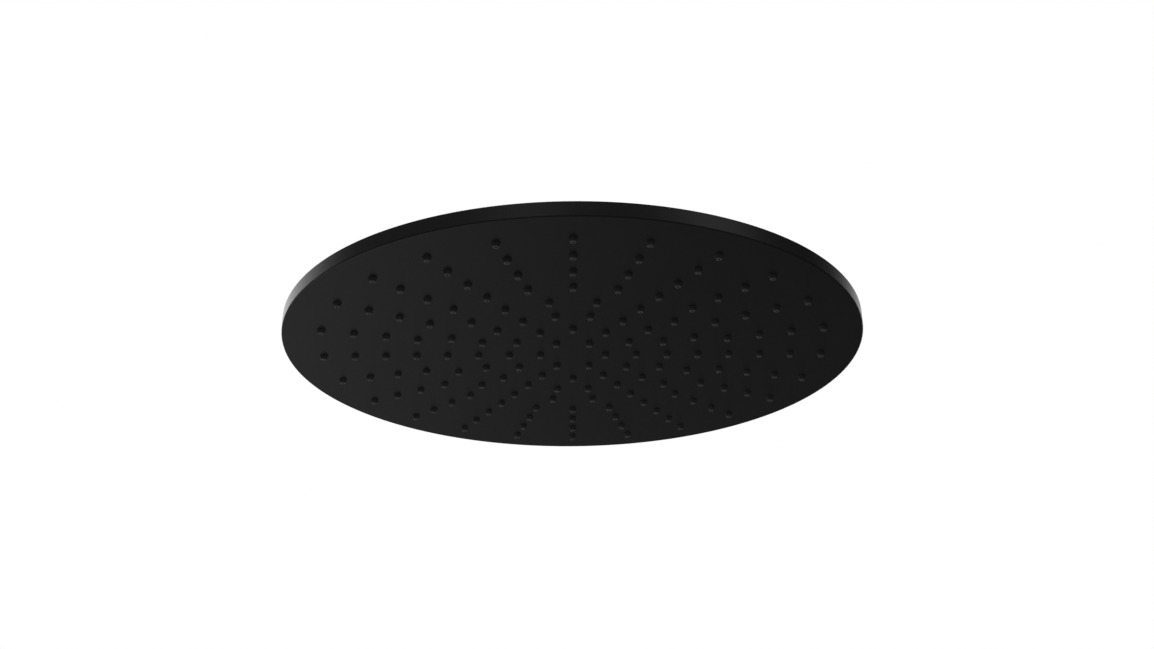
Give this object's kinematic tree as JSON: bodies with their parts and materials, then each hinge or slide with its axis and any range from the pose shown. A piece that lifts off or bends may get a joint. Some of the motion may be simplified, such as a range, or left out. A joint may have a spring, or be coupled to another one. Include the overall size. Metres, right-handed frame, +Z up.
{
  "type": "overhead rain shower head",
  "caption": "Thin round overhead rain shower head with rings of silicone nozzles, on a tilting ball joint with a half-inch female threaded inlet.",
  "frame": {"origin": "centre of the mouth of the G1/2 female inlet", "axes": "+Z up out of the inlet along its axis; the spray face is level and faces -Z; X and Y lie in the face"},
  "size_m": [0.3, 0.3, 0.0671],
  "materials": {
    "black_shell": "fine matt black coat",
    "black_silicone": "satin silicone",
    "white_plastic": "moulded",
    "screw_steel": "bright",
    "black_screws": "blackened",
    "seal_rubber": "matt",
    "black_metal": "matt black coat",
    "ring_plastic": "turned acetal",
    "inlet_brass": "matt black coat outside, bare brass thread",
    "regulator_plastic": "moulded"
  },
  "bodies": {
    "inlet": {"ball_stud": "inlet_brass", "flow_regulator": "regulator_plastic", "regulator_oring": "seal_rubber", "filter_screen": "screw_steel", "filter_washer": "seal_rubber"},
    "swivel_ring": {"upper_liner": "ring_plastic"},
    "tilt_ring": {"seat_ring": "ring_plastic"},
    "head": {"face_plate": "black_shell", "nozzle_mat": "black_silicone", "mat_retainer": "white_plastic", "retainer_screws": "screw_steel", "perimeter_seal": "seal_rubber", "back_cover": "black_shell", "outer_cover_screws": "black_screws", "inner_cover_screws": "black_screws", "inner_screw_seals": "seal_rubber", "inlet_diffuser": "white_plastic", "diffuser_screws": "screw_steel", "socket_gasket": "seal_rubber", "socket_body": "black_metal", "socket_screws": "screw_steel", "ball_seal": "seal_rubber", "collar_nut": "black_metal"}
  },
  "joints": [
    {"name": "head_swivel", "type": "hinge", "parent": "inlet", "child": "swivel_ring", "pos_m": [0, 0, -0.03769], "axis": [0, 0, 1], "continuous": true},
    {"name": "head_tilt", "type": "hinge", "parent": "swivel_ring", "child": "tilt_ring", "pos_m": [0, 0, -0.03769], "axis": [1, 0, 0], "range_deg": [-12, 12]},
    {"name": "head_spin", "type": "hinge", "parent": "tilt_ring", "child": "head", "pos_m": [0, 0, -0.03769], "axis": [0, 0, 1], "continuous": true}
  ]
}
